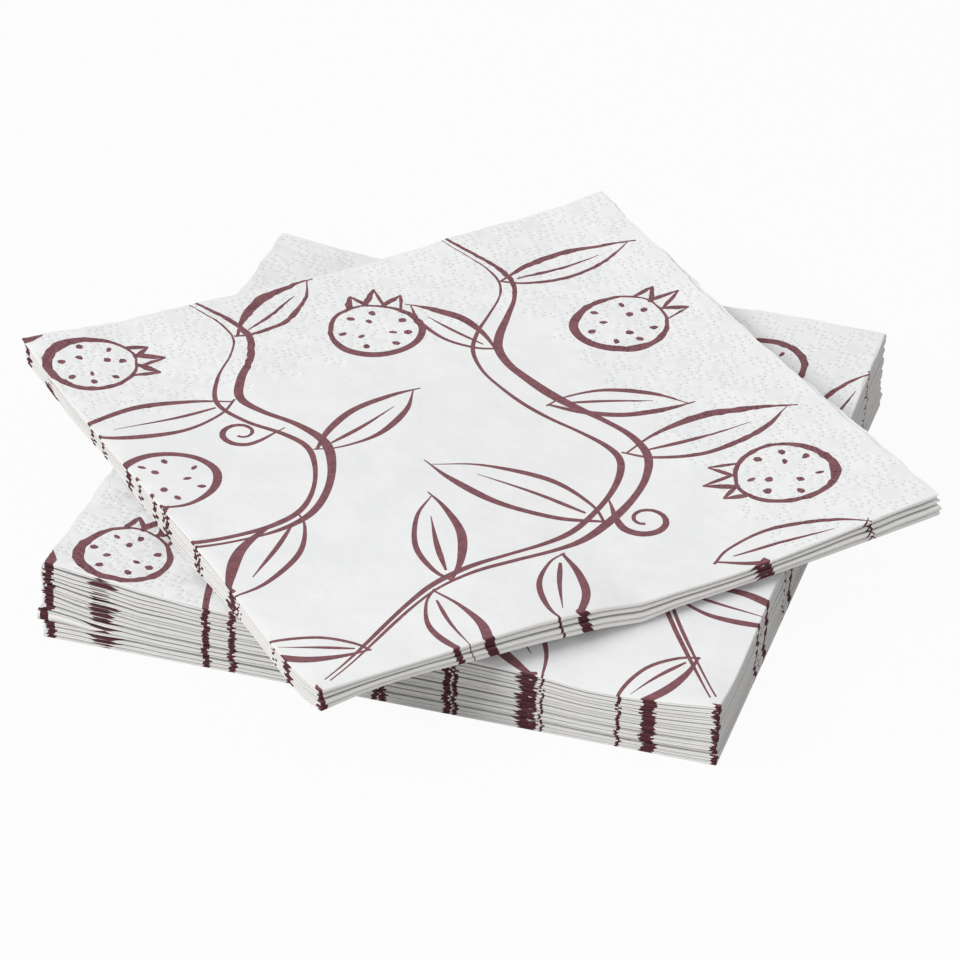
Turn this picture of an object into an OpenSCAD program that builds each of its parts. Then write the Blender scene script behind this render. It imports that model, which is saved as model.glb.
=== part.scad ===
// A stack of paper napkins. Each napkin is a square sheet folded in half twice.
// A few of them lie turned on a straight pile of others. Both piles are pressed in some places and
// swell in others, and the upper one sags onto the lower one.
// Millimetres, +Z up. The stack rests on z = 0 and the origin is under its middle.

/* [Sheet] */
// Side of one napkin laid out flat
sheet_side = 330; // [200:5:400]
// Thickness of the paper, with its plies together
paper = 0.19; // [0.15:0.01:0.4]
// How far the first fold misses the middle of the sheet
first_fold_miss = 0.6; // [0:0.1:3]
// How far the second fold misses the middle of the sheet
second_fold_miss = 0.8; // [0:0.1:3]

/* [Lower pile] */
// Number of napkins in the lower pile
lower_count = 16; // [2:1:24]
// Air between two layers of a napkin where the lower pile is pressed most
lower_air = 0.03; // [0.03:0.01:0.3]
// Extra height of a napkin where the lower pile is loosest
lower_swell = 0.48; // [0:0.02:1]

/* [Upper pile] */
// Number of napkins in the upper pile
upper_count = 4; // [1:1:12]
// Air between two layers of a napkin where the upper pile is pressed most
upper_air = 0.09; // [0.03:0.01:0.4]
// Extra height of a napkin where the upper pile is loosest
upper_swell = 0.68; // [0:0.02:1.2]
// How far the upper pile stands off the lower one where it stands off most
upper_lift = 5; // [0:0.5:10]
// Turn of the upper pile on the lower one, in degrees
upper_turn = -43.7; // [-90:0.1:90]
// Distance of the upper pile's middle from the lower one's, along its first folds
upper_shift_x = -3; // [-20:0.5:20]
// Distance of the upper pile's middle from the lower one's, along its spines
upper_shift_y = -0.3; // [-20:0.1:20]

/* [Unevenness] */
// Most that one napkin is pushed out of line with its pile
stray = 0.3; // [0:0.1:3]
// Most that one napkin is turned out of line with its pile, in degrees
stray_turn = 0.1; // [0:0.05:2]
// Pattern of the unevenness
stray_pattern = 7; // [1:1:50]
// Air between a napkin and the one that it rests on
rest_air = 0.02; // [0.01:0.01:0.1]
// Air between the two piles where the upper one rests on the lower one
seat_air = 0.3; // [0.1:0.05:0.8]

/* [Colour] */
// Colour of the unprinted paper
paper_colour = "whitesmoke"; // [whitesmoke, white, ivory, lightgrey]

/* [Hidden] */
side = sheet_side / 2;
// Flats that make up the roll of each fold
first_fold_flats = 4;
spine_flats = 6;
// Room on every side of a pile for its unevenness
margin = stray + side / 2 * tan(stray_turn);
extent = side + 2 * margin;

// Where the piles bend, as shares of their extent from the spines and from the first folds
lower_bends = [0, 0.17, 0.76, 1];
upper_bends_from_spine = [0, 0.17, 0.76, 1];
upper_bends_from_fold = [0, 0.28, 0.5, 1];

// Shares of the swell where those bends cross. The first row lies along the first folds, and the
// first share in each row lies on the spines.
lower_swell_shares = [
    [0.25, 0.05, 0.35, 0.90],
    [0.20, 0.30, 0.45, 0.65],
    [0.55, 0.65, 0.60, 0.90],
    [0.95, 1.00, 0.70, 0.95]
];
upper_swell_shares = [
    [0.50, 0.20, 0.55, 1.00],
    [0.40, 0.45, 0.65, 0.75],
    [0.05, 0.25, 0.70, 0.70],
    [0.65, 0.60, 1.00, 0.85]
];
// Shares of the upper pile's lift in the same places. It rests about its middle.
upper_lift_shares = [
    [0.75, 0.45, 0.30, 0.50],
    [1.00, 0.35, 0.05, 0.00],
    [0.15, 0.00, 0.10, 0.05],
    [0.80, 0.70, 0.30, 0.35]
];

function two_digits(k) = str(k < 10 ? "0" : "", k);
function lower_name(k) = str("lower_napkin_", two_digits(k));
function upper_name(k) = str("upper_napkin_", two_digits(k));

// One random number from -1 to 1 for each napkin of the stack
function strays(seed) = rands(-1, 1, lower_count + upper_count, stray_pattern + seed);
stray_x = strays(0);
stray_y = strays(100);
stray_spin = strays(200);

// How far back from its pile's front a napkin lies at its spine and at its first folds, at a share
// of the way along them
function back_from_spine(index, share) =
    margin - stray * stray_x[index] + extent * (share - 0.5) * tan(stray_turn * stray_spin[index]);
function back_from_fold(index, share) =
    margin + stray * stray_y[index] - extent * (share - 0.5) * tan(stray_turn * stray_spin[index]);

// Height of a napkin: four layers with air between them
function napkin_height(air) = 4 * paper + 3 * air;

// A pile is its bends from the spine and from the first fold, then its underside's height and the
// air between two layers where those bends cross, and the air between two of its napkins.
function between(pile, part, s, r) =
    lookup(r, [
        for (j = [0 : len(pile[1]) - 1])
            [pile[1][j], lookup(s, [for (i = [0 : len(pile[0]) - 1]) [pile[0][i], pile[part][j][i]]])]
    ]);
function underside(pile, s, r) = between(pile, 2, s, r);
function layer_air(pile, s, r) = between(pile, 3, s, r);
function airs(air, swell, shares) = [for (row = shares) [for (share = row) air + swell * share / 3]];

// Steepest slope between two neighbouring crossings of the bends
function steepest(bends_x, bends_y, heights) =
    let (last_x = len(bends_x) - 1, last_y = len(bends_y) - 1)
    max(concat(
        [
            for (j = [0 : last_y], i = [1 : last_x])
                abs(heights[j][i] - heights[j][i - 1]) / (bends_x[i] - bends_x[i - 1])
        ],
        [
            for (j = [1 : last_y], i = [0 : last_x])
                abs(heights[j][i] - heights[j - 1][i]) / (bends_y[j] - bends_y[j - 1])
        ]
    )) / extent;

// Air between two napkins of a pile. Where they lie out of line on a slope they don't nest, so they
// need more of it.
function between_napkins(count, bends_x, bends_y, undersides, layer_airs) =
    let (
        tops = [
            for (j = [0 : len(bends_y) - 1])
                [for (i = [0 : len(bends_x) - 1]) undersides[j][i] + 3 * count * layer_airs[j][i]]
        ]
    )
    rest_air + margin * steepest(bends_x, bends_y, tops);

lower_undersides = [for (row = lower_swell_shares) [for (share = row) 0]];
lower_airs = airs(lower_air, lower_swell, lower_swell_shares);
lower_pile = [
    lower_bends,
    lower_bends,
    lower_undersides,
    lower_airs,
    between_napkins(lower_count, lower_bends, lower_bends, lower_undersides, lower_airs)
];

function lower_top(s, r) = lower_count * (napkin_height(layer_air(lower_pile, s, r)) + lower_pile[4]);

// The place on the lower pile, in shares, under a place on the upper pile
function under(s, r) =
    let (x = (0.5 - s) * extent, y = (r - 0.5) * extent)
    [
        0.5 - (x * cos(upper_turn) - y * sin(upper_turn) + upper_shift_x) / extent,
        0.5 + (x * sin(upper_turn) + y * cos(upper_turn) + upper_shift_y) / extent
    ];
function support(s, r) = let (at = under(s, r)) lower_top(at[0], at[1]);
function is_over_lower(s, r) = let (at = under(s, r)) min(at) >= 0 && max(at) <= 1;

// Shares of the upper pile's extent at which it is held against the lower pile
feelers = [0 : 0.05 : 1];
// The upper pile's underside before it settles, and how far it then moves up until it just rests
loose_undersides = [
    for (j = [0 : len(upper_bends_from_fold) - 1])
        [
            for (i = [0 : len(upper_bends_from_spine) - 1])
                support(upper_bends_from_spine[i], upper_bends_from_fold[j])
                    + upper_lift * upper_lift_shares[j][i]
        ]
];
loose_pile = [upper_bends_from_spine, upper_bends_from_fold, loose_undersides];
settle = seat_air + max([
    for (s = feelers, r = feelers)
        if (is_over_lower(s, r)) support(s, r) - underside(loose_pile, s, r)
]);
upper_undersides = [for (row = loose_undersides) [for (height = row) height + settle]];
upper_airs = airs(upper_air, upper_swell, upper_swell_shares);
upper_pile = [
    upper_bends_from_spine,
    upper_bends_from_fold,
    upper_undersides,
    upper_airs,
    between_napkins(
        upper_count, upper_bends_from_spine, upper_bends_from_fold, upper_undersides, upper_airs
    )
];

// Lines across the sheet from one open edge over a fold to the other, each with its share from the
// fold and how far it has turned round the fold
function lines(bends, flats) = concat(
    [for (n = [len(bends) - 1 : -1 : 1]) [bends[n], 0]],
    [for (n = [0 : flats]) [0, 180 * n / flats]],
    [for (n = [1 : len(bends) - 1]) [bends[n], 180]]
);

// Distance of such a line from its pile's front: a roll's axis, a bend or an open edge
function distance(line, back, roll_radius, length) =
    line[0] == 0 ? back + roll_radius : line[0] == 1 ? back + length : line[0] * extent;

// One point of a folded sheet. The first fold makes a roll round its own axis, and the second fold
// carries that roll round the spine. Skin is half the paper's thickness, positive on the outer face.
function sheet_point(pile, level, index, column, row, skin) =
    let (
        a = distance(
            column,
            back_from_spine(index, row[0]),
            napkin_height(layer_air(pile, 0, row[0])) / 2,
            side - (column[1] > 90 ? second_fold_miss : 0)
        ),
        b = distance(
            row,
            back_from_fold(index, column[0]),
            paper + layer_air(pile, column[0], 0) / 2,
            side - (row[1] < 90 ? first_fold_miss : 0)
        ),
        air = layer_air(pile, a / extent, b / extent),
        roll = (paper + air) / 2 + skin,
        from_spine_axis = paper + air - roll * cos(row[1]),
        bottom = underside(pile, a / extent, b / extent) + level * (napkin_height(air) + pile[4])
    )
    [
        from_spine_axis * sin(column[1]) - a,
        b - roll * sin(row[1]),
        bottom + napkin_height(air) / 2 + from_spine_axis * cos(column[1])
    ];

// Two triangles for a four-sided patch, split from its first corner to its third
function split(a, b, c, d) = [[a, b, c], [a, c, d]];
function flat(lists) = [for (list = lists) each list];

// One napkin folded twice, with its double-folded corner at the front of its pile
module napkin(pile, level, index) {
    columns = lines(pile[0], spine_flats);
    rows = lines(pile[1], first_fold_flats);
    across = len(columns);
    along = len(rows);
    function at(i, j, face) = (face * along + j) * across + i;

    // The split follows the same line on all four layers, so they nest
    function patch(i, j, face) =
        (i < across / 2) == (j < along / 2)
            ? split(at(i, j, face), at(i + 1, j, face), at(i + 1, j + 1, face), at(i, j + 1, face))
            : split(at(i + 1, j, face), at(i + 1, j + 1, face), at(i, j + 1, face), at(i, j, face));
    function backward(triangles) = [for (t = triangles) [t[2], t[1], t[0]]];
    outer_face = backward(flat([for (i = [0 : across - 2], j = [0 : along - 2]) patch(i, j, 0)]));
    inner_face = flat([for (i = [0 : across - 2], j = [0 : along - 2]) patch(i, j, 1)]);
    edge = concat(
        [for (i = [0 : across - 2]) [i, 0]],
        [for (j = [0 : along - 2]) [across - 1, j]],
        [for (i = [across - 1 : -1 : 1]) [i, along - 1]],
        [for (j = [along - 1 : -1 : 1]) [0, j]]
    );
    rim = flat([
        for (n = [0 : len(edge) - 1])
            let (p = edge[n], q = edge[(n + 1) % len(edge)])
            split(at(p[0], p[1], 0), at(q[0], q[1], 0), at(q[0], q[1], 1), at(p[0], p[1], 1))
    ]);
    color(paper_colour)
        polyhedron(
            points = [
                for (skin = [paper / 2, -paper / 2], row = rows, column = columns)
                    sheet_point(pile, level, index, column, row, skin)
            ],
            faces = concat(outer_face, inner_face, rim),
            convexity = 6
        );
}

module lower_napkin(k) {
    translate([extent / 2 - upper_shift_x, -extent / 2 - upper_shift_y, 0])
        napkin(lower_pile, k - 1, k - 1);
}

module upper_napkin(k) {
    rotate(upper_turn)
        translate([extent / 2, -extent / 2, 0])
            napkin(upper_pile, k - 1, lower_count + k - 1);
}

for (k = [1 : lower_count])
    lower_napkin(k);
for (k = [1 : upper_count])
    upper_napkin(k);
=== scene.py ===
"""Looks for a stack of paper napkins: twenty folded sheets with a line print and dotted edges."""

import math

import bpy
import numpy as np
from mathutils import Matrix, Vector
from mathutils.geometry import delaunay_2d_cdt


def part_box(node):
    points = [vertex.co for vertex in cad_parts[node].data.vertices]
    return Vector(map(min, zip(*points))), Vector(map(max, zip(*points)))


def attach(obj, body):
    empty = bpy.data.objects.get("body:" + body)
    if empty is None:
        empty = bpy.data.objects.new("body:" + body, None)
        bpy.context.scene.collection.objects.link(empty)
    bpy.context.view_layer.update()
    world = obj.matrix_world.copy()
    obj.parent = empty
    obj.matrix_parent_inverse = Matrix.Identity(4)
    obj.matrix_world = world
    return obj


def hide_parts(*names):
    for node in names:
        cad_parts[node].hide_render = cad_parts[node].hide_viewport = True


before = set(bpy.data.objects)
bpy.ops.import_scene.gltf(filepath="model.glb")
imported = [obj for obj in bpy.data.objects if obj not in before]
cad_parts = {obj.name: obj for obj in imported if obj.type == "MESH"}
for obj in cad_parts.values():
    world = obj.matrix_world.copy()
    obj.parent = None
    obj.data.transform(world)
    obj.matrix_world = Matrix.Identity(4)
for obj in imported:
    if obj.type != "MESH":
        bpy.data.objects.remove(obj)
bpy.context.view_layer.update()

# Everything about the napkins is in millimetres until the mesh is made.
MM = 0.001

# The sheet. Flat coordinates (u, v) have their origin at the double-folded corner.
# The first fold runs along v = 0 and the second one, the spine, along u = 0.
HALF_SHEET = 165.0
PAPER = 0.15
# Widths of the strips of paper that bend round the first fold and round the spine
FOLD_WIDTH = 0.7
SPINE_WIDTH = 1.9
LOWER_COUNT = 16
UPPER_COUNT = 4

# Heights along the sides of the lower pile's top, as pairs of a distance and a height. The two-fold
# side and the spine start at the folded corner, the back-left side starts at the left corner and the
# back-right side at the right corner. Each side's own height fades out over its reach, in the same
# order, and the middle sags.
LOWER_TWO_FOLD = (
    (0, 17.0), (12, 15.4), (26, 14.5), (33, 14.6), (40, 15.5), (58, 16.6), (92, 17.2), (128, 17.5),
    (140, 18.8), (151, 20.2), (165, 21.8),
)
LOWER_SPINE = (
    (0, 17.0), (12, 15.2), (30, 15.8), (45, 17.1), (65, 17.3), (83, 17.7), (125, 18.8), (145, 21.0),
    (165, 22.2),
)
LOWER_BACK_LEFT = (
    (0, 21.8), (12, 20.3), (26, 19.7), (44, 20.5), (100, 21.3), (132, 22.4), (150, 22.8), (165, 22.6),
)
LOWER_BACK_RIGHT = (
    (0, 22.2), (24, 22.7), (40, 22.2), (95, 20.6), (138, 19.8), (151, 21.0), (165, 22.6),
)
LOWER_REACH = (14, 14, 60, 60)
LOWER_SAG = 1.3

# The same along the underside and the top of the upper pile
UPPER_BASE_TWO_FOLD = (
    (0, 20.2), (8, 18.2), (16, 17.8), (33, 19.2), (89, 19.7), (102, 20.8), (116, 21.8), (138, 21.9),
    (150, 22.9), (165, 23.6),
)
UPPER_BASE_SPINE = (
    (0, 20.2), (13, 21.9), (25, 22.1), (39, 21.2), (56, 20.4), (68, 19.5), (83, 18.8), (115, 19.4),
    (165, 22.0),
)
UPPER_BASE_BACK_LEFT = ((0, 23.6), (40, 22.1), (85, 21.5), (125, 21.8), (165, 23.6))
UPPER_BASE_BACK_RIGHT = ((0, 22.0), (40, 22.4), (83, 23.0), (125, 23.6), (165, 23.6))
UPPER_TOP_TWO_FOLD = (
    (0, 26.2), (8, 24.7), (27, 24.1), (40, 25.4), (49, 26.5), (66, 27.3), (95, 27.3), (124, 27.5),
    (147, 28.5), (165, 30.8),
)
UPPER_TOP_SPINE = (
    (0, 26.2), (35, 26.4), (54, 26.6), (66, 25.9), (74, 25.2), (83, 23.9), (93, 23.5), (115, 23.7),
    (126, 24.6), (145, 26.5), (165, 28.3),
)
UPPER_TOP_BACK_LEFT = (
    (0, 30.8), (14, 29.9), (26, 28.7), (43, 28.3), (56, 27.6), (104, 27.1), (122, 27.9), (149, 28.8),
    (165, 31.0),
)
UPPER_TOP_BACK_RIGHT = (
    (0, 28.3), (60, 28.4), (100, 28.9), (115, 29.9), (123, 30.7), (146, 30.5), (165, 31.0),
)
UPPER_REACH = (60, 45, 60, 60)
UPPER_BASE_SAG = 1.6
UPPER_TOP_SAG = 1.4
UPPER_TURN = math.radians(-43.7)

# How far above the lower pile the upper one rests, how fast the surface that it may not dip into
# falls past the lower pile's sides, and how softly the two are blended
RESTING_GAP = 0.3
FALL_PAST_SIDES = 0.35
RESTING_BLEND = 0.4

# How far the upper pile's corners lie off square
UPPER_CORNER_STRAY = np.array([1.1, 2.2])

# Where the upper pile's spine is bent over the lower pile, how deep at its base and its top, how far
# along the spine and how far in from it
CREASE_AT = 83
CREASE_BASE_DEPTH = 1.4
CREASE_TOP_DEPTH = 0.4
CREASE_WIDTH = 10
CREASE_REACH = 14

# Shares of the broad, the middling and the quick waves in a layer, and how fast each one runs.
# The quick ones start at a distance from the folds and are full a little further on.
WAVE_SHARES = (0.25, 0.3, 0.55)
WAVE_RATES = (0.05, 0.13, 0.4)
LOOSE_FROM = 115
LOOSE_OVER = 40
# How far in from its spine a pile is pressed together
PRESSED_REACH = 6

# How far a napkin lies off its place and its turn, and how far its folds and its corners are off
MIDDLE_STRAY = 0.25
SPIN_STRAY = math.radians(0.08)
FOLD_MISS = 0.4
CORNER_STRAY = 0.55
# How round the first fold is, from 1 for a half circle towards 0 for a square
TWO_FOLD_ROUND = 0.75
# The flat layers start half a napkin's thickness in from its spine, but no further in than this.
SPINE_MOST = 1.2
# How far in from its sides a napkin's height is taken, so that its rolls have room
SPINE_INSET = 0.6
FOLD_INSET = 0.3
# How far in from the spine the gaps keep the painted shade that they have there
SPINE_GAP_REACH = 8
# Sizes and rates of the waves in the cut edge, and how far in from the edge they reach
RAGGED = ((0.4, 0.09), (0.2, 0.45), (0.1, 2.1))
RAGGED_REACH = 6


def along_side(profile, at):
    """Smooth height at any place along a side, from the heights in its profile."""
    knots, heights = np.array(profile, float).T
    slopes = np.gradient(heights, knots)
    n = np.clip(np.searchsorted(knots, at) - 1, 0, len(knots) - 2)
    span = knots[n + 1] - knots[n]
    t = np.clip((at - knots[n]) / span, -0.5, 1.5)
    rise = heights[n + 1] - heights[n]
    return (
        heights[n]
        + slopes[n] * span * (t - 2 * t ** 2 + t ** 3)
        + rise * (3 * t ** 2 - 2 * t ** 3)
        + slopes[n + 1] * span * (t ** 3 - t ** 2)
    )


def ease(t):
    """A smooth step from 0 to 1."""
    t = np.clip(t, 0, 1)
    return t * t * (3 - 2 * t)


def pillow(t):
    """0 at both ends and close to 1 over most of the way between them."""
    return 1 - (2 * t - 1) ** 4


def surface(two_fold, spine, back_left, back_right, reach, sag, a, b):
    """Height over a folded napkin at distance a from its spine and b from its two-fold side.

    The corners carry an even slope, each side leaves it near itself, and the middle sags."""
    s, r = a / HALF_SHEET, b / HALF_SHEET
    front, left = two_fold[0][1], two_fold[-1][1]
    right, back = spine[-1][1], back_left[-1][1]
    height = (1 - s) * (1 - r) * front + s * (1 - r) * left + (1 - s) * r * right + s * r * back
    sides = (
        (two_fold, front, left, a, b), (spine, front, right, b, a),
        (back_left, left, back, b, HALF_SHEET - a), (back_right, right, back, a, HALF_SHEET - b),
    )
    for (profile, start, end, along, away), fades in zip(sides, reach):
        straight = start + (end - start) * along / HALF_SHEET
        own = along_side(profile, along) - straight
        height = height + own * np.exp(-np.clip(away, 0, None) / fades)
    return height - sag * pillow(s) * pillow(r)


def crease(depth, a, b):
    """How far the upper pile is pressed down round the bend in its spine."""
    near = np.clip(1 - np.abs(b - CREASE_AT) / CREASE_WIDTH, 0, 1)
    return -depth * near * np.exp(-np.clip(a, 0, None) / CREASE_REACH)


def napkin_middle(node):
    """Where the middle of a napkin is, in millimetres."""
    low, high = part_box(node)
    return np.array([(low.x + high.x) / 2, (low.y + high.y) / 2]) / MM


def lower_name(k):
    return f"lower_napkin_{k:02d}"


def upper_name(k):
    return f"upper_napkin_{k:02d}"


LOWER_MIDDLE = np.mean([napkin_middle(lower_name(k)) for k in range(1, LOWER_COUNT + 1)], axis=0)
UPPER_MIDDLE = np.mean([napkin_middle(upper_name(k)) for k in range(1, UPPER_COUNT + 1)], axis=0)
# Where a napkin's middle is, seen from its double-folded corner
HALF_NAPKIN = np.array([-HALF_SHEET / 2, HALF_SHEET / 2])


def polar(radius, angle):
    """The place at a distance from the origin in a direction."""
    return radius * math.cos(angle), radius * math.sin(angle)


def turned(x, y, angle):
    """Places turned about the origin."""
    c, s = polar(1, angle)
    return c * x - s * y, s * x + c * y


def lower_bottom(a, b):
    """The lower pile lies flat on what carries it."""
    return 0 * a


def lower_top(a, b):
    """The lower pile swells towards its open corners."""
    return surface(
        LOWER_TWO_FOLD, LOWER_SPINE, LOWER_BACK_LEFT, LOWER_BACK_RIGHT, LOWER_REACH, LOWER_SAG, a, b
    )


def upper_bottom(a, b):
    """The upper pile's underside. It never dips into the lower pile."""
    own = surface(
        UPPER_BASE_TWO_FOLD, UPPER_BASE_SPINE, UPPER_BASE_BACK_LEFT, UPPER_BASE_BACK_RIGHT,
        UPPER_REACH, UPPER_BASE_SAG, a, b
    )
    own = own + crease(CREASE_BASE_DEPTH, a, b)
    x, y = turned(-a - HALF_NAPKIN[0], b - HALF_NAPKIN[1], UPPER_TURN)
    x, y = x + UPPER_MIDDLE[0] - LOWER_MIDDLE[0], y + UPPER_MIDDLE[1] - LOWER_MIDDLE[1]
    under_a, under_b = -x - HALF_NAPKIN[0], y + HALF_NAPKIN[1]
    inside = np.minimum(
        np.minimum(under_a, HALF_SHEET - under_a), np.minimum(under_b, HALF_SHEET - under_b)
    )
    nearest_a, nearest_b = np.clip(under_a, 0, HALF_SHEET), np.clip(under_b, 0, HALF_SHEET)
    support = lower_top(nearest_a, nearest_b) + RESTING_GAP
    support = support - FALL_PAST_SIDES * np.clip(-inside, 0, None)
    return RESTING_BLEND * np.logaddexp(own / RESTING_BLEND, support / RESTING_BLEND)


def upper_top(a, b):
    """The upper pile's top, pressed down round the bend in its spine."""
    own = surface(
        UPPER_TOP_TWO_FOLD, UPPER_TOP_SPINE, UPPER_TOP_BACK_LEFT, UPPER_TOP_BACK_RIGHT,
        UPPER_REACH, UPPER_TOP_SAG, a, b
    )
    return own + crease(CREASE_TOP_DEPTH, a, b)


class Pile:
    """A pile of folded napkins, with the share of its air that lies under each layer."""

    def __init__(self, count, bottom, top, turn, shares, seed):
        self.count, self.bottom, self.top, self.turn = count, bottom, top, turn
        # How round the spines are, from 1 for a half circle towards 0 for a square
        self.spine_round = 0.8
        # How far the spines are pressed together, how dark the painted shade in the gaps between them
        # is, and how much painted shade they get as a whole
        self.spine_pressed, self.spine_gap, self.spine_shade = 0.0, 0.5, 0.0
        # How dark the painted shade is in the gaps between the napkins and inside each napkin's
        # second fold
        self.outer_gap, self.inner_gap = 1.0, 0.9
        # How much each napkin's corners stray by themselves, and how far they stray together
        self.corner_share, self.corner_offset = 1.0, 0.0
        # Layers that puff out (layer, distances, reach, amount), and bends across the spine
        self.puffs = []
        self.creases = []
        random = np.random.RandomState(seed)
        layers = 4 * count
        # Layers 0 to 3 of a napkin lie from the bottom up: air under layer 0 is between two napkins,
        # under 1 and 3 it is inside the first fold, and under 2 it is inside the second.
        share = np.tile(shares, count) * random.uniform(0.8, 1.2, layers)
        share[0::4] *= np.exp(random.normal(0, 0.2, count))
        # The lowest layer lies on what carries the pile.
        share[0] = 0.01
        self.share = share
        slow = random.uniform(-1, 1, (layers, 2, 2))
        quick = random.uniform(0.5, 1.2, (layers, 1, 2))
        self.waves = np.concatenate([slow, quick], 1) * np.array(WAVE_RATES)[None, :, None]
        self.phases = random.uniform(0, 2 * math.pi, (layers, 3))

    def swell(self, layer, a, b):
        """How much the air under a layer grows or shrinks, in waves about 0."""
        (p, q, r), (f, g, h) = self.waves[layer], self.phases[layer]
        loose = ease((np.maximum(a, b) - LOOSE_FROM) / LOOSE_OVER)
        broad_share, middling_share, quick_share = WAVE_SHARES
        return (
            broad_share * np.sin(p[0] * a + p[1] * b + f)
            + middling_share * np.sin(q[0] * a + q[1] * b + g)
            + quick_share * loose * np.sin(r[0] * a + r[1] * b + h)
        )

    def air_under(self, layer, a, b):
        """The share of the air that lies under a layer at distances a and b."""
        swell = self.swell(layer, a, b)
        if layer % 4 == 0:
            pressed = 1 - self.spine_pressed * np.exp(-a / PRESSED_REACH)
            share = self.share[layer] * np.clip(1 + 0.4 * swell, 0.4, None) * pressed
        else:
            share = self.share[layer] * np.clip(1 + swell, 0.3, None)
        for puffed, at_a, at_b, reach, amount in self.puffs:
            if puffed == layer:
                far = ((a - at_a) / reach) ** 2 + ((b - at_b) / (2 * reach)) ** 2
                share = share + amount * np.exp(-far)
        return share

    def heights(self, k, a, b):
        """Heights of napkin k's four layers, and the paper's thickness, at distances a and b."""
        bottom = self.bottom(a, b)
        height = self.top(a, b) - bottom
        layers = 4 * self.count
        # At least a fifth of the height is air.
        paper = np.minimum(PAPER, 0.8 * height / layers)
        air = height - layers * paper
        below = 4 * (k - 1)
        total = np.zeros_like(a)
        under = []
        for layer in range(layers):
            total = total + self.air_under(layer, a, b)
            if below <= layer < below + 4:
                under.append(total)
        heights = [bottom + paper * (below + n + 0.5) + air * under[n] / total for n in range(4)]
        return heights, paper


def squared(value, roundness):
    """A sine or cosine that squares off a half circle, the more so the lower the roundness."""
    return np.sign(value) * np.abs(value) ** roundness


def half_turn(distance, width):
    """Angle round a fold, from 0 before it to pi behind it, at a distance from its middle."""
    return np.clip(distance / width + 0.5, 0, 1) * math.pi


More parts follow.
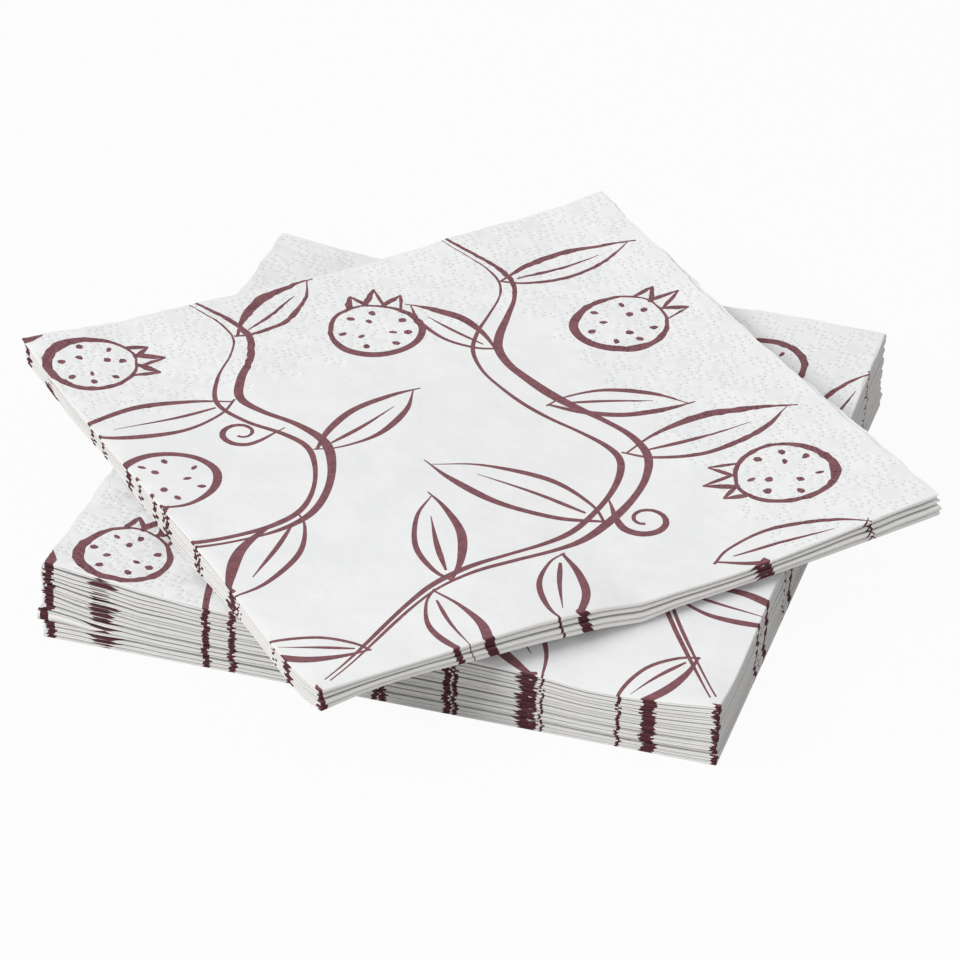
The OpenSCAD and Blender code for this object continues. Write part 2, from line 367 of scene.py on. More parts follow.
class Napkin:
    """One sheet folded twice, and how it lies in its pile."""

    def __init__(self, pile, k, node, print_shift, random):
        self.pile, self.k, self.print_shift = pile, k, print_shift
        self.middle = napkin_middle(node) + random.uniform(-MIDDLE_STRAY, MIDDLE_STRAY, 2)
        self.spin = random.uniform(-SPIN_STRAY, SPIN_STRAY)
        self.first_miss, self.second_miss = random.uniform(-FOLD_MISS, FOLD_MISS, 2)
        self.edge_phase = random.uniform(0, 2 * math.pi, (4, 3))
        own_stray = random.uniform(-CORNER_STRAY, CORNER_STRAY, (4, 2))
        self.corner_stray = pile.corner_share * own_stray + pile.corner_offset

    def quarter(self, u, v):
        """Which quarter of the sheet a place is in."""
        return (u > 0) * 2 + (v > 0) * 1

    def crevice(self, points, fold):
        """Painted shade on the printed face where it lies inside the pile, from 0 where it shows to
        1, and a set amount over the spine roll.
        """
        u, v = points[:, 0], points[:, 1]
        on_top = (self.k == self.pile.count) & (u < self.second_miss) & (v > self.first_miss)
        underneath = (self.k == 1) & (u > self.second_miss) & (v > self.first_miss)
        gap = np.where(v > self.first_miss, self.pile.outer_gap, self.pile.inner_gap)
        # Along the sides the painted shade in the gaps is darker here and lighter there.
        along = np.abs(u) + np.abs(v)
        gap = gap * (0.8 + 0.2 * np.sin(0.055 * along + self.edge_phase[0, 0]))
        at_spine = np.exp(-np.abs(u) / SPINE_GAP_REACH)
        depth = gap * (1 - at_spine * (1 - self.pile.spine_gap))
        # Painted shade over the whole spine roll, as dark as the pile's spine_shade.
        shade = self.pile.spine_shade * (np.abs(u - self.second_miss) < 0.4 * SPINE_WIDTH)
        # The rolls and the cut edge show, so the painted shade of the gaps leaves them out.
        gaps = depth * (1 - ease(fold / 0.95)) * ~(on_top | underneath | on_edge(points))
        return np.maximum(gaps, shade)

    def ragged(self, u, v):
        """How far the cut edge strays at a place, in millimetres, one pattern for each quarter."""
        phase = self.edge_phase[self.quarter(u, v)]
        along = np.where(np.abs(u) > np.abs(v), v, u)
        return sum(
            size * np.sin(rate * along + phase[:, n]) for n, (size, rate) in enumerate(RAGGED)
        )

    def strayed(self, u, v, x, y, towards_corner):
        """A folded place with the cut edge and the corners a little off."""
        to_edge = HALF_SHEET - np.maximum(np.abs(u), np.abs(v))
        ragged = self.ragged(u, v) * ease(1 - to_edge / RAGGED_REACH)
        x = x - ragged * (np.abs(u) >= np.abs(v))
        y = y + ragged * (np.abs(v) > np.abs(u))
        stray = self.corner_stray[self.quarter(u, v)]
        return x + stray[:, 0] * towards_corner, y + stray[:, 1] * towards_corner

    def place(self, u, v, side, relief=0):
        """Where a point of the flat sheet lies, and how far round a fold it is.

        Side is +0.5 on the printed face and -0.5 on the other."""
        v_folded, u_folded = v - self.first_miss, u - self.second_miss
        first, second = half_turn(v_folded, FOLD_WIDTH), half_turn(u_folded, SPINE_WIDTH)
        spine_round = self.pile.spine_round
        outer, upper = squared(-np.cos(first), TWO_FOLD_ROUND), squared(np.cos(second), spine_round)
        bulge, spine_bulge = np.sin(first) ** TWO_FOLD_ROUND, np.sin(second) ** spine_round
        along_y = np.clip(np.abs(v_folded) - FOLD_WIDTH / 2, 0, None)
        along_x = np.clip(np.abs(u_folded) - SPINE_WIDTH / 2, 0, None)
        # The layers a to d lie from the top down. The first fold joins a with b and c with d.
        from_spine, from_fold = along_x + SPINE_INSET, along_y + FOLD_INSET
        (d, c, b, a), paper = self.pile.heights(self.k, from_spine, from_fold)
        skin = side * paper + relief
        top_roll, bottom_roll = (a - b) / 2 + skin, (d - c) / 2 - skin
        z_top = (a + b) / 2 + top_roll * outer
        z_bottom = (c + d) / 2 + bottom_roll * outer
        roll = top_roll * (1 + upper) / 2 - bottom_roll * (1 - upper) / 2
        roll_middle = roll - skin + paper / 2
        y = along_y + roll_middle - roll * bulge
        # The second fold, the spine, joins the upper two layers with the lower two.
        spine_middle = np.minimum((a - d) / 2, SPINE_MOST) + paper / 2
        x = -along_x - spine_middle + (z_top - z_bottom) / 2 * spine_bulge
        z = (z_top + z_bottom) / 2 + (z_top - z_bottom) / 2 * upper
        towards_corner = (along_x * along_y / HALF_SHEET ** 2) ** 5
        x, y = self.strayed(u, v, x, y, towards_corner)
        x, y = turned(x - HALF_NAPKIN[0], y - HALF_NAPKIN[1], self.pile.turn + self.spin)
        fold = np.maximum(np.sin(first), np.sin(second))
        return np.stack([x + self.middle[0], y + self.middle[1], z], 1), fold


# The print: loose brush lines in millimetres on the flat sheet. Each is a list of points with its
# width, where along it the width is reached, and the share of that width at its two ends.

def smooth_line(points, step):
    """Points about a step apart on a smooth curve through the given ones."""
    points = np.asarray(points, float)
    ends = [2 * points[0] - points[1], *points, 2 * points[-1] - points[-2]]
    line = []
    for before, start, end, after in zip(ends, ends[1:], ends[2:], ends[3:]):
        pieces = max(2, round(np.linalg.norm(end - start) / step))
        for t in np.arange(pieces) / pieces:
            line.append(
                0.5 * (2 * start + (end - before) * t
                       + (2 * before - 5 * start + 4 * end - after) * t ** 2
                       + (3 * start - before - 3 * end + after) * t ** 3)
            )
    line.append(ends[-2])
    return np.array(line)


def leaf(length, belly, bend):
    """A pointed leaf along +X: a heavy side, a fine side that overshoots, and a rib."""
    heavy = [
        (-1, 0), (0.2 * length, 0.72 * belly), (0.5 * length, belly + 0.25 * bend),
        (0.82 * length, 0.5 * belly + 0.75 * bend), (1.04 * length, bend),
    ]
    fine = [
        (0.98 * length, bend * 1.06), (0.76 * length, bend * 0.62 - 0.55 * belly),
        (0.42 * length, bend * 0.2 - 0.8 * belly), (0.12 * length, -0.42 * belly),
        (-0.04 * length, 0.1 * belly),
    ]
    rib = [(0.1 * length, 0.0), (0.4 * length, 0.16 * bend), (0.74 * length, 0.55 * bend)]
    return [(heavy, 2.3, 0.62, 0.3, 0.2), (fine, 1.5, 0.4, 0.25, 0.45), (rib, 1.2, 0.3, 0.5, 0.2)]


def pod(radius):
    """A round pod: a heavy rim drawn in one go, a crown of three points, and rings of seeds."""
    turns = np.radians(np.arange(-12, 376, 32))
    radii = radius * (1 + 0.03 * np.sin(2 * turns + 1) + 0.03 * np.sin(3 * turns))
    rim = [polar(r, t) for r, t in zip(radii, turns)]
    lines = [(rim, 2.4, 0.5, 0.2, 0.3)]
    half_width = 2.6
    for turn, reach in ((-18, 0.55), (4, 0.7), (24, 0.5)):
        c, s = polar(1, math.radians(turn))
        root, tip = 0.98 * radius, polar(radius * (1 + reach), math.radians(turn))
        left = (root * c - half_width * s, root * s + half_width * c)
        right = (root * c + half_width * s, root * s - half_width * c)
        lines.append(([left, tip], 1.7, 0.4, 0.5, 0.3))
        lines.append(([tip, right], 1.2, 0.5, 0.4, 0.6))
    for ring, count, first in ((0.3, 3, 20), (0.62, 7, 5)):
        for n in range(count):
            turn = math.radians(first + 360 * n / count + 9 * math.sin(5 * n))
            seed = [polar(ring * radius, turn), polar((ring + 0.17) * radius, turn + 0.08)]
            lines.append((seed, 1.9, 0.6, 0.4, 0.5))
    return lines


def curl(size):
    """A tendril from the origin along +X that winds up."""
    angles = np.linspace(0, 2.5 * math.pi, 12)
    radii = size * (1 - 0.75 * angles / angles[-1])
    spiral = [(size * 1.3 + r * math.sin(a), size - r * math.cos(a)) for r, a in zip(radii, angles)]
    return [([(0, -0.3 * size), (size * 0.6, -0.15 * size), *spiral], 1.7, 0.35, 0.25, 0.6)]


def placed(lines, at, turn, flip=False):
    """The same brush lines, turned and moved to another place."""
    c, s = polar(1, math.radians(turn))
    hand = -1 if flip else 1
    return [
        ([(at[0] + c * x - s * hand * y, at[1] + s * x + c * hand * y) for x, y in points], *rest)
        for points, *rest in lines
    ]


def stalk(points, gap):
    """A stalk of two brush lines that part and meet again."""
    line = smooth_line(points, 9.0)
    tangent = np.gradient(line, axis=0)
    tangent /= np.linalg.norm(tangent, axis=1)[:, None]
    normal = np.stack([-tangent[:, 1], tangent[:, 0]], 1)
    along = np.linspace(0, 1, len(line))
    part = gap / 2 * (0.25 + 0.75 * np.sin(math.pi * along ** 0.8) ** 2)
    part *= 1 + 0.25 * np.sin(7 * along + points[0][1])
    left, right = line + normal * part[:, None], line - normal * part[:, None]
    return [
        ([tuple(p) for p in left], 2.3, 0.35, 0.3, 0.2),
        ([tuple(p) for p in right], 1.6, 0.7, 0.2, 0.4),
    ]


# The design fills the quarter of the sheet with u below 0 and v above 0.
# Stalks: their points, and how far their two lines part
STALKS = (
    ([(-172, 118), (-138, 124), (-112, 104), (-86, 104), (-52, 112), (-30, 84), (-26, 44), (-3, 4)],
     6.5),
    ([(-172, 44), (-146, 52), (-120, 36), (-92, 46), (-66, 30), (-64, 0), (-76, -26)], 5.5),
)
# Leaves: where they start, their direction in degrees, their length and their heavy side
LEAVES = (
    ((-139, 124), 80, 36, 1), ((-54, 112), 78, 44, 1), ((-112, 106), 205, 30, -1),
    ((-82, 106), 70, 34, -1), ((-33, 92), 205, 46, 1), ((-27, 48), 168, 34, -1),
    ((-24, 42), 345, 33, 1), ((-147, 52), 112, 32, 1), ((-119, 36), 275, 42, -1),
    ((-90, 46), 104, 36, 1), ((-66, 28), 318, 38, -1), ((-11, 18), 232, 27, 1),
    ((-6, 108), 88, 40, -1), ((-24, 76), 325, 32, 1),
)
# Pods: their middle, their radius and the direction of their crown
PODS = (
    ((-134, 84), 12, 150), ((-106, 140), 12, 100), ((-28, 140), 12, 250), ((-93, 7), 12, 300),
    ((-149, 12.4), 11, 75),
)
# Curls: where they start, their direction, their size and whether they wind the other way
CURLS = (((-40, 100), 330, 7, False), ((-104, 42), 300, 6, True))
# The dot in the middle of the sheet and the line that runs off it at its left corner
STROKES = (
    ([(-2.4, 1.0), (-0.5, 0.2), (2, -1)], 1.8, 0.6, 0.2, 0.4),
    ([(-168, 10), (-163.3, 0.5), (-165, -9)], 2.3, 0.5, 0.5, 0.5),
)
# A leaf's belly and bend, as shares of its length
LEAF_BELLY = 0.19
LEAF_BEND = 0.14
# How far the lines of a quarter run on past the folds
PAST_FOLD = 0.8
# How rough a line's edges are on the dots, and how far short of the band's inner side that ends
BRUSH_ROUGH = 0.25
SMOOTH_BAND = 4
# How far the print may lie off from one napkin to the next, and in all
PRINT_STEP = 0.35
PRINT_STRAY = 0.6


def print_lines():
    """The brush lines of one quarter of the sheet. The others mirror it across the folds."""
    lines = list(STROKES)
    for points, gap in STALKS:
        lines += stalk(points, gap)
    for at, turn, length, side in LEAVES:
        lines += placed(leaf(length, length * LEAF_BELLY, length * LEAF_BEND), at, turn, side < 0)
    for at, radius, turn in PODS:
        lines += placed(pod(radius), at, turn)
    for at, turn, size, flip in CURLS:
        lines += placed(curl(size), at, turn, flip)
    return lines


# Embossed dots stand in rows at 45 degrees to the edges, in a net of diamonds along the open edges.
DOT_PITCH = 1.3
DOT_RADIUS = 0.42
DOT_HEIGHT = 0.13
DOT_STRAY = 0.13
# The net repeats every seven dots. Its rows are two dots wide, and three near the sheet's edge.
NET = 7
BAND = 37.0
DENSE_BAND = 20
# A diamond's middle dot, how far from the edge the first of them is, and the outermost dot of all
NET_MIDDLE = 4
MIDDLE_FROM = 12
OUTERMOST = 0.8
# More dots each way than any sheet has
DOT_REACH = 190


def dots_around(u, v):
    """Which dot is nearest to a place, whether it is there, and how far away it is."""
    # Whole numbers i and j count the dots along the two diagonals.
    p, q = (u + v) / math.sqrt(2) / DOT_PITCH, (v - u) / math.sqrt(2) / DOT_PITCH
    i, j = np.round(p), np.round(q)
    at_u = (i - j) / math.sqrt(2) * DOT_PITCH + DOT_STRAY * np.sin(12.9 * i + 78.2 * j)
    at_v = (i + j) / math.sqrt(2) * DOT_PITCH + DOT_STRAY * np.sin(39.3 * i + 11.1 * j)
    to_edge = HALF_SHEET - np.maximum(np.abs(at_u), np.abs(at_v))
    rows = 2 + (to_edge < DENSE_BAND)
    in_row = (i % NET < rows) | (j % NET < rows)
    middle = (i % NET == NET_MIDDLE) & (j % NET == NET_MIDDLE) & (to_edge > MIDDLE_FROM)
    # A diamond is there as a whole or not at all.
    cell_u = ((i // NET + 0.6) - (j // NET + 0.6)) * NET / math.sqrt(2) * DOT_PITCH
    cell_v = ((i // NET + 0.6) + (j // NET + 0.6)) * NET / math.sqrt(2) * DOT_PITCH
    in_band = HALF_SHEET - np.maximum(np.abs(cell_u), np.abs(cell_v)) < BAND
    there = (in_row | middle) & in_band & (to_edge > OUTERMOST)
    return there, at_u, at_v, np.hypot(u - at_u, v - at_v)


def relief_at(u, v):
    """How far the embossing moves the printed face outwards, and where its pits and its bumps are."""
    there, at_u, at_v, away = dots_around(u, v)
    dot = there * np.clip(1 - away / DOT_RADIUS, 0, 1)
    is_pit = np.sin(7.7 * at_u + 3.1 * at_v) > 0
    return DOT_HEIGHT * dot * np.where(is_pit, -1, 1), dot * is_pit, dot * ~is_pit


def dot_points(low_u, high_u, low_v, high_v):
    """The middle and rim points of every dot in a part of the sheet."""
    reach = np.arange(-DOT_REACH, DOT_REACH + 1)
    i, j = np.meshgrid(reach, reach)
    u = ((i - j) / math.sqrt(2) * DOT_PITCH).ravel()
    v = ((i + j) / math.sqrt(2) * DOT_PITCH).ravel()
    there, u, v, _ = dots_around(u, v)
    keep = there & (u > low_u) & (u < high_u) & (v > low_v) & (v < high_v)
    u, v = u[keep], v[keep]
    points = [np.stack([u, v], 1)]
    for turn in np.arange(6) * 2 * math.pi / 6:
        du, dv = polar(DOT_RADIUS, turn)
        points.append(np.stack([u + du, v + dv], 1))
    return np.concatenate(points)


def brush_edges(line, random, step):
    """The left and right edges of a brush line, heaviest at one place and fine towards its ends."""
    points, width, heavy, start, end = line
    middle = smooth_line(points, step)
    length = np.concatenate([[0], np.cumsum(np.linalg.norm(np.diff(middle, axis=0), axis=1))])
    along = length / length[-1]
    towards = np.clip(np.minimum(along / heavy, (1 - along) / (1 - heavy)), 0, 1)
    swell = np.sin(towards * math.pi / 2) ** 1.3
    thin = np.where(along < heavy, start, end)
    # The hand presses harder in some places than in others.
    press = 1 + 0.3 * np.sin(length / 7.5 + 3 * points[0][0]) * np.sin(length / 19 + points[0][1])
    half = width / 2 * (thin + (1 - thin) * swell) * press
    tangent = np.gradient(middle, axis=0)
    tangent /= np.linalg.norm(tangent, axis=1)[:, None]
    normal = np.stack([-tangent[:, 1], tangent[:, 0]], 1)
    # The edges of a line are rough where it crosses the dots.
    embossed = HALF_SHEET - np.abs(middle).max(axis=1) < BAND - SMOOTH_BAND
    rough = random.uniform(-BRUSH_ROUGH, BRUSH_ROUGH, (2, len(middle)))
    rough = rough * embossed * np.clip(half, 0, 1)
    left, right = half + rough[0], half + rough[1]
    return middle + normal * left[:, None], middle - normal * right[:, None]


def runs_in_quarter(left, right):
    """The parts of a brush line that lie in the first quarter, cut off just past the folds."""
    edges, middle = np.stack([left, right], 1), (left + right) / 2
    depth = PAST_FOLD + np.minimum(-middle[:, 0], middle[:, 1])
    runs, run = [], []
    for n in range(len(depth)):
        if n > 0 and (depth[n] > 0) != (depth[n - 1] > 0):
            part = depth[n - 1] / (depth[n - 1] - depth[n])
            run.append(edges[n - 1] + (edges[n] - edges[n - 1]) * part)
            if depth[n] <= 0:
                runs.append(np.array(run))
                run = []
        if depth[n] > 0:
            run.append(edges[n])
    if len(run) > 1:
        runs.append(np.array(run))
    return runs


def rows_across(miss, width, segments):
    """Places of the rows of points across a fold."""
    return [miss + width * (n / segments - 0.5) for n in range(segments + 1)]


# Spacing of the points along the sheet's edge, along the folds and across the flat quarters, and
# along the brush lines
EDGE_STEP = 1.9
ROLL_STEP = 4.0
DOTTED_STEP, PLAIN_STEP = 4.5, 7.5
FINE_BRUSH_STEP, BRUSH_STEP = 1.5, 3.0
FOLD_SEGMENTS, SPINE_SEGMENTS = 4, 6


class Net:
    """Points, lines and filled outlines for one triangulation."""

    def __init__(self):
        self.points, self.lines, self.outlines = [], [], []

    def add(self, points):
        """Adds loose points and gives their numbers."""
        first = len(self.points)
        self.points.extend(Vector((float(x), float(y))) for x, y in points)
        return list(range(first, len(self.points)))

    def line(self, points, closed=False):
        """Adds points with edges from each to the next."""
        at = self.add(points)
        self.lines.extend(zip(at, at[1:]))
        if closed:
            self.lines.append((at[-1], at[0]))

    def ribbon(self, left, right):
        """Adds a printed strip between two edges."""
        a, b = self.add(left), self.add(right)
        self.outlines.extend([a[n], b[n], b[n + 1], a[n + 1]] for n in range(len(a) - 1))

    def triangles(self):
        """Points, triangles inside the sheet and whether each is printed."""
        everything, nearest, with_origins = 0, 1e-5, True
        points, _, faces, _, _, origins = delaunay_2d_cdt(
            self.points, self.lines, self.outlines, everything, nearest, with_origins
        )
        points = np.array([tuple(p) for p in points])
        faces = np.array(faces)
        inked = np.array([bool(o) for o in origins])
        corners = points[faces]
        inside = np.abs(corners.mean(axis=1)).max(axis=1) < HALF_SHEET
        side_a, side_b = corners[:, 1] - corners[:, 0], corners[:, 2] - corners[:, 0]
        area = side_a[:, 0] * side_b[:, 1] - side_a[:, 1] * side_b[:, 0]
        keep = inside & (np.abs(area) > 1e-7)
        faces[area < 0] = faces[area < 0][:, ::-1]
        used, faces = np.unique(faces[keep], return_inverse=True)
        return points[used], faces.reshape(-1, 3), inked[keep]


def perimeter(points):
    """How far round the sheet's edge each point is, from 0 to 8, from the corner (-, -) on."""
    u, v = points[:, 0] / HALF_SHEET, points[:, 1] / HALF_SHEET
    edge = 1 - 1e-6
    return np.select(
        [v < -edge, u > edge, v > edge], [1 + u, 3 + v, 5 - u], 7 - v
    ) % 8


def on_edge(points):
    """Whether each point is on the sheet's edge."""
    return np.abs(np.abs(points).max(axis=1) - HALF_SHEET) < 1e-4


def edge_points(step):
    """Points round the sheet's edge."""
    count = round(2 * HALF_SHEET / step)
    side = np.linspace(-HALF_SHEET, HALF_SHEET, count + 1)[:-1]
    full = np.full(count, HALF_SHEET)
    return np.concatenate([
        np.stack([side, -full], 1), np.stack([full, side], 1),
        np.stack([-side, full], 1), np.stack([-full, -side], 1),
    ])


def lay_rolls(net, napkin):
    """Rows of points along both folds, so that each bends as a roll, and along the bends."""
    along = np.linspace(-HALF_SHEET, HALF_SHEET, round(2 * HALF_SHEET / ROLL_STEP) + 1)
    for v in rows_across(napkin.first_miss, FOLD_WIDTH, FOLD_SEGMENTS):
        net.line(np.stack([along, np.full(len(along), v)], 1))
    for u in rows_across(napkin.second_miss, SPINE_WIDTH, SPINE_SEGMENTS):
        net.line(np.stack([np.full(len(along), u), along], 1))
    across = np.linspace(-2.5, 2.5, 21) * CREASE_REACH
    for at in napkin.pile.creases:
        net.line(np.stack([across, np.full(len(across), napkin.first_miss + at)], 1))
        net.line(np.stack([across, np.full(len(across), napkin.first_miss - at)], 1))


def lay_grid(net, step):
    """An even grid of points over the whole sheet."""
    count = round(2 * HALF_SHEET / step)
    along = (np.arange(count) + 0.5) / count * 2 * HALF_SHEET - HALF_SHEET
    u, v = np.meshgrid(along, along)
    net.add(np.stack([u.ravel(), v.ravel()], 1))


def printed_face(napkin, lines, random, dotted, step):
    """The printed face of a napkin, as flat points, triangles and whether each is printed."""
    net = Net()
    net.line(edge_points(EDGE_STEP), closed=True)
    lay_rolls(net, napkin)
    lay_grid(net, step)
    brush_step = FINE_BRUSH_STEP if dotted else BRUSH_STEP
    for line in lines:
        for run in runs_in_quarter(*brush_edges(line, random, brush_step)):
            left, right = run[:, 0], run[:, 1]
            for hand in ((1, 1), (-1, -1)):
                net.ribbon(left * hand + napkin.print_shift, right * hand + napkin.print_shift)
            for hand in ((-1, 1), (1, -1)):
                net.ribbon(right * hand + napkin.print_shift, left * hand + napkin.print_shift)
    for quarter in dotted:
        net.add(dot_points(*quarter))
    return net.triangles()


def plain_face(napkin, edge, step):
    """The unprinted face, with the same points round its edge."""
    net = Net()
    net.line(edge, closed=True)
    lay_rolls(net, napkin)
    lay_grid(net, step)
    return net.triangles()


def ring_of(points):
    """The points on the sheet's edge, in order round it."""
    found = np.where(on_edge(points))[0]
    return found[np.argsort(perimeter(points[found]))]


def spread_map(mesh, flat, plain_start):
    """A flat map of both faces to bake on: the printed one large, the plain one small beside it."""
    layer = mesh.uv_layers.new(name="OFBake")
    corner = np.zeros(len(mesh.loops), np.int32)
    mesh.loops.foreach_get("vertex_index", corner)
    unit = (flat / HALF_SHEET + 1) / 2
    large, small = 0.006 + 0.8 * unit, 0.82 + 0.17 * unit
    at = np.where(corner[:, None] < plain_start, large[corner], small[corner])
    layer.uv.foreach_set("vector", at.astype(np.float32).ravel())


def add_values(mesh, name, values):
    """One number for each point of a mesh, for its materials to read."""
    attribute = mesh.attributes.new(name, "FLOAT", "POINT")
    attribute.data.foreach_set("value", values.astype(np.float32))


def both_sides(top_faces, back_faces, ring, back_ring):
    """All faces of a sheet: its two sides and the cut edge between them."""
    rim = [(ring[n], ring[n - 1], back_ring[n - 1], back_ring[n]) for n in range(len(ring))]
    return [tuple(int(n) for n in face) for face in (*top_faces, *back_faces[:, ::-1], *rim)]


def mark_faces(mesh, inked, embossed):
    """Puts ink on the printed triangles and keeps the dots crisp."""
    material = np.zeros(len(mesh.polygons), np.int32)
    material[:len(inked)] = inked
    mesh.polygons.foreach_set("material_index", material)
    smooth = np.ones(len(mesh.polygons), bool)
    smooth[:len(embossed)] = ~embossed
    mesh.polygons.foreach_set("use_smooth", smooth)


def folded_sheet(name, napkin, lines, random, dotted, materials):
    """The whole napkin as one closed thin sheet."""
    step = DOTTED_STEP if dotted else PLAIN_STEP
    top, top_faces, inked = printed_face(napkin, lines, random, dotted, step)
    ring = ring_of(top)
    back, back_faces, _ = plain_face(napkin, top[ring], step)
    back_ring = ring_of(back) + len(top)
    relief, pit, bump = relief_at(top[:, 0], top[:, 1]) if dotted else np.zeros((3, len(top)))
    placed_top, fold_top = napkin.place(top[:, 0], top[:, 1], 0.5, relief)
    placed_back, fold_back = napkin.place(back[:, 0], back[:, 1], -0.5)
    vertices = np.concatenate([placed_top, placed_back]) * MM
    faces = both_sides(top_faces, back_faces + len(top), ring, back_ring)
    mesh = bpy.data.meshes.new(name)
    mesh.from_pydata(vertices.tolist(), [], faces)
    for material in materials:
        mesh.materials.append(material)
    mark_faces(mesh, inked, (pit + bump)[top_faces].max(axis=1) >= 0.5)
    spread_map(mesh, np.concatenate([top, back]), len(top))
    none = np.zeros(len(back))
    add_values(mesh, "at_fold", np.concatenate([fold_top, fold_back]))
    add_values(mesh, "painted_layer_shade", np.concatenate([napkin.crevice(top, fold_top), none]))
    add_values(mesh, "in_pit", np.concatenate([pit, none]))
    add_values(mesh, "on_bump", np.concatenate([bump, none]))
    mesh.set_sharp_from_angle(angle=math.radians(70))
    mesh.validate()
    piece = bpy.data.objects.new(name, mesh)
    bpy.context.scene.collection.objects.link(piece)
    return piece


# Materials. Each is slightly cloudy between two colours, and has other colours where the mesh says
# that the paper is pitted, raised, bent or hidden between layers. The darker colours in the pits, on
# the ink's bumps, between layers and on the paper's folds are painted shade, and the paper's lighter
# bumps are a painted highlight.

PAPER_COLOURS = ((0.80, 0.805, 0.812), (0.845, 0.847, 0.85))
# Painted shade in the pits, round the folds and between layers, and a painted highlight on the bumps
PAPER_CHANGES = {
    "in_pit": (0.52, 0.52, 0.53),
    "on_bump": (0.98, 0.98, 0.98),
    "at_fold": (0.80, 0.785, 0.76),
    "painted_layer_shade": (0.26, 0.25, 0.24),
}
INK_COLOURS = ((0.16, 0.068, 0.08), (0.255, 0.11, 0.123))
# Painted shade in the pits, on the bumps and between layers; round the folds the ink is much darker
INK_CHANGES = {
    "in_pit": (0.03, 0.01, 0.013),
    "on_bump": (0.06, 0.02, 0.027),
    "at_fold": (0.07, 0.014, 0.022),
    "painted_layer_shade": (0.012, 0.004, 0.006),
}


def new_material(name):
    """A material with its nodes, their links and its shader."""
    material = bpy.data.materials.new(name)
    material.use_nodes = True
    nodes, links = material.node_tree.nodes, material.node_tree.links
    return material, nodes, links, nodes["Principled BSDF"]


def noise(nodes, links, where, scale, detail):
    """Soft random values between 0 and 1, one pattern all over the paper."""
    node = nodes.new("ShaderNodeTexNoise")
    node.inputs["Scale"].default_value = scale
    node.inputs["Detail"].default_value = detail
    links.new(where, node.inputs["Vector"])
    return node.outputs["Fac"]


def ramp(nodes, links, source, positions, colours):
    """A colour between two, by where a value lies between two positions."""
    node = nodes.new("ShaderNodeValToRGB")
    for element, position, colour in zip(node.color_ramp.elements, positions, colours):
        element.position = position
        element.color = (*colour, 1)
    links.new(source, node.inputs["Fac"])
    return node.outputs["Color"]


def tissue_bump(nodes, links, where, shader):
    """The soft unevenness of tissue: short fibres over a broader quilt."""
    fibres = noise(nodes, links, where, scale=2600, detail=3)
    quilt = noise(nodes, links, where, scale=260, detail=2)
    fine = nodes.new("ShaderNodeBump")
    fine.inputs["Strength"].default_value = 0.35
    fine.inputs["Distance"].default_value = 0.06 * MM
    links.new(fibres, fine.inputs["Height"])
    broad = nodes.new("ShaderNodeBump")
    broad.inputs["Strength"].default_value = 0.5
    broad.inputs["Distance"].default_value = 0.4 * MM
    links.new(quilt, broad.inputs["Height"])
    links.new(broad.outputs["Normal"], fine.inputs["Normal"])
    links.new(fine.outputs["Normal"], shader.inputs["Normal"])


def changed(nodes, links, colour, attribute, other):
    """A colour that turns into another one where an attribute of the mesh is high."""
    where = nodes.new("ShaderNodeAttribute")
    where.attribute_name = attribute
    mixed = nodes.new("ShaderNodeMix")
    mixed.data_type = "RGBA"
    mixed.inputs["B"].default_value = (*other, 1)
    links.new(where.outputs["Fac"], mixed.inputs["Factor"])
    links.new(colour, mixed.inputs["A"])
    return mixed.outputs["Result"]


def paper_material():
    """White tissue, very slightly cloudy."""
    material, nodes, links, shader = new_material("napkin_tissue")
    where = nodes.new("ShaderNodeTexCoord").outputs["Object"]
    clouds = noise(nodes, links, where, scale=90, detail=5)
    colour = ramp(nodes, links, clouds, (0.35, 0.7), PAPER_COLOURS)
    # Painted shade in the pits, round the folds and between layers, and a painted highlight on the
    # bumps
    for attribute, other in PAPER_CHANGES.items():
        colour = changed(nodes, links, colour, attribute, other)
    links.new(colour, shader.inputs["Base Color"])
    shader.inputs["Roughness"].default_value = 0.9
    shader.inputs["Specular IOR Level"].default_value = 0.03
    shader.inputs["Sheen Weight"].default_value = 0.08
    tissue_bump(nodes, links, where, shader)
    return material


def ink_material():
    """Dull dark red ink soaked into the tissue. It is much darker where the sheet bends round a fold.
    """
    material, nodes, links, shader = new_material("dark_red_print")
    where = nodes.new("ShaderNodeTexCoord").outputs["Object"]
    soaked = noise(nodes, links, where, scale=700, detail=5)
    colour = ramp(nodes, links, soaked, (0.3, 0.75), INK_COLOURS)
    # Painted shade in the pits, on the bumps and between layers, and much darker ink round the folds
    for attribute, other in INK_CHANGES.items():
        colour = changed(nodes, links, colour, attribute, other)
    links.new(colour, shader.inputs["Base Color"])
    shader.inputs["Roughness"].default_value = 0.8
    shader.inputs["Specular IOR Level"].default_value = 0.2
    tissue_bump(nodes, links, where, shader)
    return material


# The floor, the light and the camera

FLOOR_SIZE = 6
FLOOR_DEPTH = 0.2 * MM
FLOOR_GREY = 0.55
# How much of what the camera sees of the floor is plain white. The rest keeps the shadow.
FLOOR_WHITE = 0.95
SKY_LIGHT = 0.55
SOFTBOX_SIZE = 1.2
# Place and power of the lamps: the main one to the front left, a weak one to the right
KEY_PLACE, KEY_WATTS = (-1.25, -1.3, 1.6), 39
FILL_PLACE, FILL_WATTS = (1.6, -0.5, 0.9), 4


def seen_plainly(nodes, links):
    """1 for what the camera, a mirror or a glass sees, and 0 for light."""
    path = nodes.new("ShaderNodeLightPath")
    seen = path.outputs["Is Camera Ray"]
    for name in ("Is Glossy Ray", "Is Transmission Ray"):
        either = nodes.new("ShaderNodeMath")
        either.operation = "MAXIMUM"
        links.new(seen, either.inputs[0])
        links.new(path.outputs[name], either.inputs[1])
        seen = either.outputs[0]
    return seen


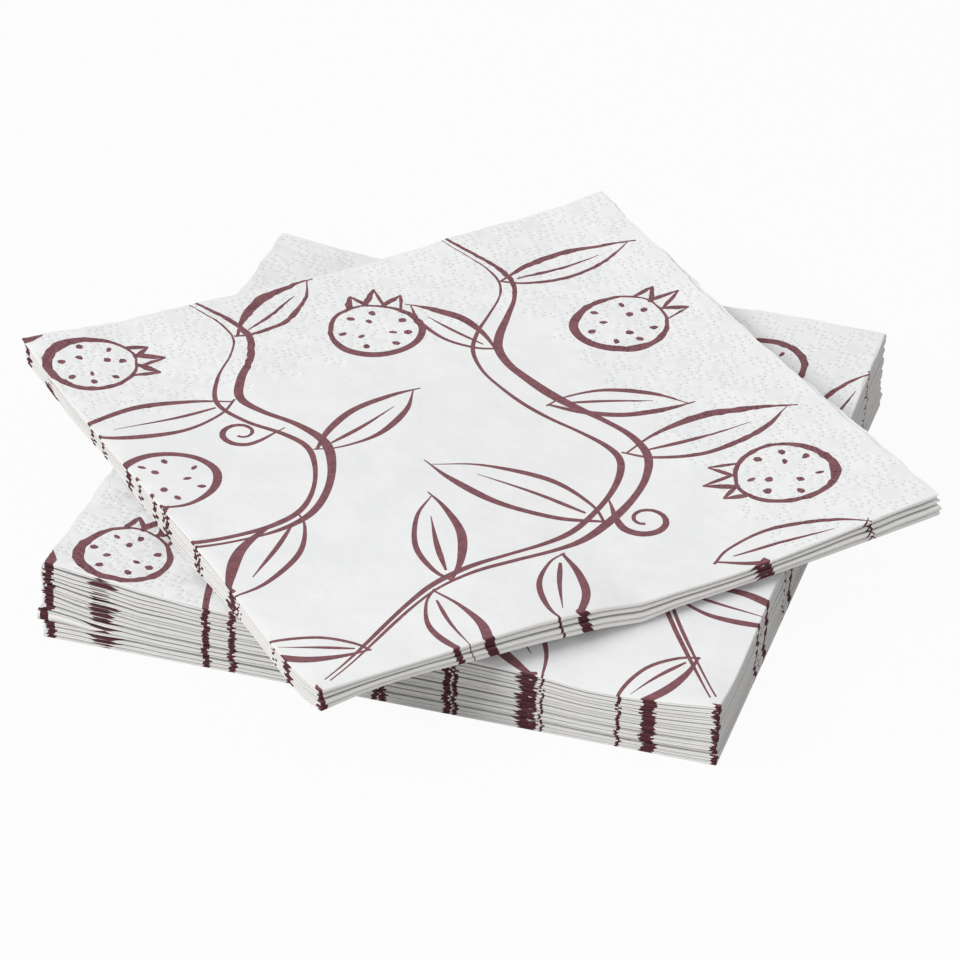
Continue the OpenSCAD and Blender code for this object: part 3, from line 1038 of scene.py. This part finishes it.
def add_floor():
    """A plain white floor that keeps a soft shadow under the stack."""
    bpy.ops.mesh.primitive_plane_add(size=FLOOR_SIZE, location=(0, 0, -FLOOR_DEPTH))
    floor = bpy.context.object
    floor.name = "floor"
    material, nodes, links, shader = new_material("floor_white")
    shader.inputs["Base Color"].default_value = (FLOOR_GREY, FLOOR_GREY, FLOOR_GREY, 1)
    shader.inputs["Roughness"].default_value = 1.0
    shader.inputs["Specular IOR Level"].default_value = 0.0
    glow = nodes.new("ShaderNodeEmission")
    glow.inputs["Strength"].default_value = 1.0
    share = nodes.new("ShaderNodeMath")
    share.operation = "MULTIPLY"
    share.inputs[1].default_value = FLOOR_WHITE
    links.new(seen_plainly(nodes, links), share.inputs[0])
    mixed = nodes.new("ShaderNodeMixShader")
    links.new(share.outputs[0], mixed.inputs["Fac"])
    links.new(shader.outputs[0], mixed.inputs[1])
    links.new(glow.outputs[0], mixed.inputs[2])
    links.new(mixed.outputs[0], nodes["Material Output"].inputs["Surface"])
    floor.data.materials.append(material)


def add_world():
    """An even white sky. The camera and mirrors see it as plain white."""
    world = bpy.data.worlds.new("studio")
    bpy.context.scene.world = world
    world.use_nodes = True
    nodes, links = world.node_tree.nodes, world.node_tree.links
    background = nodes["Background"]
    background.inputs["Color"].default_value = (1, 1, 1, 1)
    strength = nodes.new("ShaderNodeMapRange")
    strength.inputs["To Min"].default_value = SKY_LIGHT
    strength.inputs["To Max"].default_value = 1.0
    links.new(seen_plainly(nodes, links), strength.inputs["Value"])
    links.new(strength.outputs["Result"], background.inputs["Strength"])


def add_softbox(name, place, watts):
    """A square lamp that faces the stack."""
    lamp = bpy.data.lights.new(name, "AREA")
    lamp.shape = "SQUARE"
    lamp.size = SOFTBOX_SIZE
    lamp.energy = watts
    box = bpy.data.objects.new(name, lamp)
    bpy.context.scene.collection.objects.link(box)
    box.location = place
    box.rotation_euler = (-Vector(place)).to_track_quat("-Z", "Y").to_euler()


# The camera, fitted to the corners of both piles
CAMERA_LENS = 154.6
CAMERA_SHIFT = -0.0104
CAMERA_YAW = math.radians(-72.58)
CAMERA_PITCH = math.radians(32.37)
CAMERA_ROLL = math.radians(0.47)
CAMERA_DISTANCE = 1.041
CAMERA_TARGET = Vector((-0.0037, 0.0209, 0))


def add_camera():
    """The photograph's view: a long lens that looks down on the stack."""
    level, height = polar(1, CAMERA_PITCH)
    towards = Vector((*polar(level, CAMERA_YAW), height))
    data = bpy.data.cameras.new("photo_view")
    data.lens = CAMERA_LENS
    data.sensor_width = 36
    data.shift_y = CAMERA_SHIFT
    data.clip_start = 0.05
    camera = bpy.data.objects.new("photo_view", data)
    bpy.context.scene.collection.objects.link(camera)
    forward = -towards
    right = forward.cross(Vector((0, 0, 1))).normalized()
    up = right.cross(forward)
    tilt = Matrix((right, up, towards)).transposed().to_4x4() @ Matrix.Rotation(CAMERA_ROLL, 4, "Z")
    camera.matrix_world = Matrix.Translation(CAMERA_TARGET + towards * CAMERA_DISTANCE) @ tilt
    bpy.context.scene.camera = camera


def lower_pile():
    """Sixteen napkins with tight spines. One layer puffs out at the left corner."""
    shares = (1.15, 0.55, 0.15, 0.55)
    pile = Pile(LOWER_COUNT, lower_bottom, lower_top, turn=0.0, shares=shares, seed=3)
    pile.spine_round = 0.4
    pile.spine_pressed, pile.spine_gap, pile.spine_shade = 0.85, 0.5, 0.35
    pile.outer_gap, pile.inner_gap = 0.75, 0.1
    # The second layer of the fifth napkin
    puffed = 4 * 4 + 1
    pile.puffs.append((puffed, HALF_SHEET, 0, 12, 11))
    return pile


def upper_pile():
    """Four loose napkins, bent over the spine of the lower pile."""
    shares = (0.8, 1.0, 0.3, 1.0)
    pile = Pile(UPPER_COUNT, upper_bottom, upper_top, turn=UPPER_TURN, shares=shares, seed=5)
    pile.corner_share, pile.corner_offset = 0.3, UPPER_CORNER_STRAY
    pile.creases.append(CREASE_AT)
    return pile


def make_napkins():
    """The twenty napkins, from the bottom of the stack to its top."""
    random = np.random.RandomState(11)
    materials = (paper_material(), ink_material())
    lines = print_lines()
    # The quarter of the sheet that lies on top, where the dots show
    top_quarter = (-HALF_SHEET, -1.0, 1.0, HALF_SHEET)
    print_shift = np.zeros(2)
    for pile, name_of in ((lower_pile(), lower_name), (upper_pile(), upper_name)):
        for k in range(1, pile.count + 1):
            node = name_of(k)
            step = random.uniform(-PRINT_STEP, PRINT_STEP, 2)
            print_shift = np.clip(print_shift + step, -PRINT_STRAY, PRINT_STRAY)
            napkin = Napkin(pile, k, node, print_shift, random)
            dotted = [top_quarter] if k == pile.count else []
            piece = folded_sheet("folded_" + node, napkin, lines, random, dotted, materials)
            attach(piece, "root")
            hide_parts(node)


add_camera()
add_floor()
add_world()
add_softbox("key_light", KEY_PLACE, KEY_WATTS)
add_softbox("fill_light", FILL_PLACE, FILL_WATTS)
make_napkins()

bpy.context.scene.view_settings.view_transform = "Standard"
